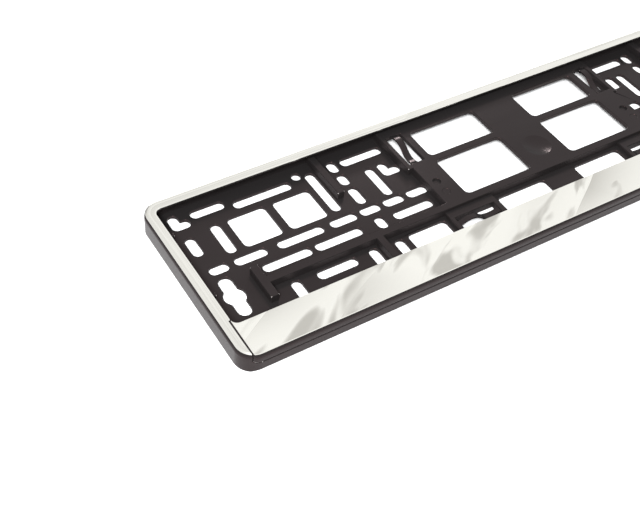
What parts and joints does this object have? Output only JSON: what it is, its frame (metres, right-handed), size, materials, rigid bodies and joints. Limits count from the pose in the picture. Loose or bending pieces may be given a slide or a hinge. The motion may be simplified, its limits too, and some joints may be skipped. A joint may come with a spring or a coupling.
{
  "type": "number plate holder",
  "caption": "Flat rectangular holder for a car's number plate: slotted black tray with ribs, wave springs and a bright rim, closed along its lower edge by a bright clip-on strip.",
  "frame": {"origin": "middle of the back plane, the plane that lies on the car", "axes": "+X along the plate, +Y towards its upper edge, +Z out of the front face"},
  "size_m": [0.532, 0.134, 0.0145],
  "materials": {
    "black_plastic": "satin moulded",
    "bright_foil": "bright, slightly wavy"
  },
  "bodies": {
    "base": {"base_tray": "black_plastic", "rim_foil": "bright_foil"},
    "strip": {"clip_strip": "black_plastic", "strip_foil": "bright_foil"}
  },
  "joints": [
    {"name": "strip_lift", "type": "slide", "parent": "base", "child": "strip", "axis": [0, 0, 1], "range_m": [0, 0.025]}
  ]
}
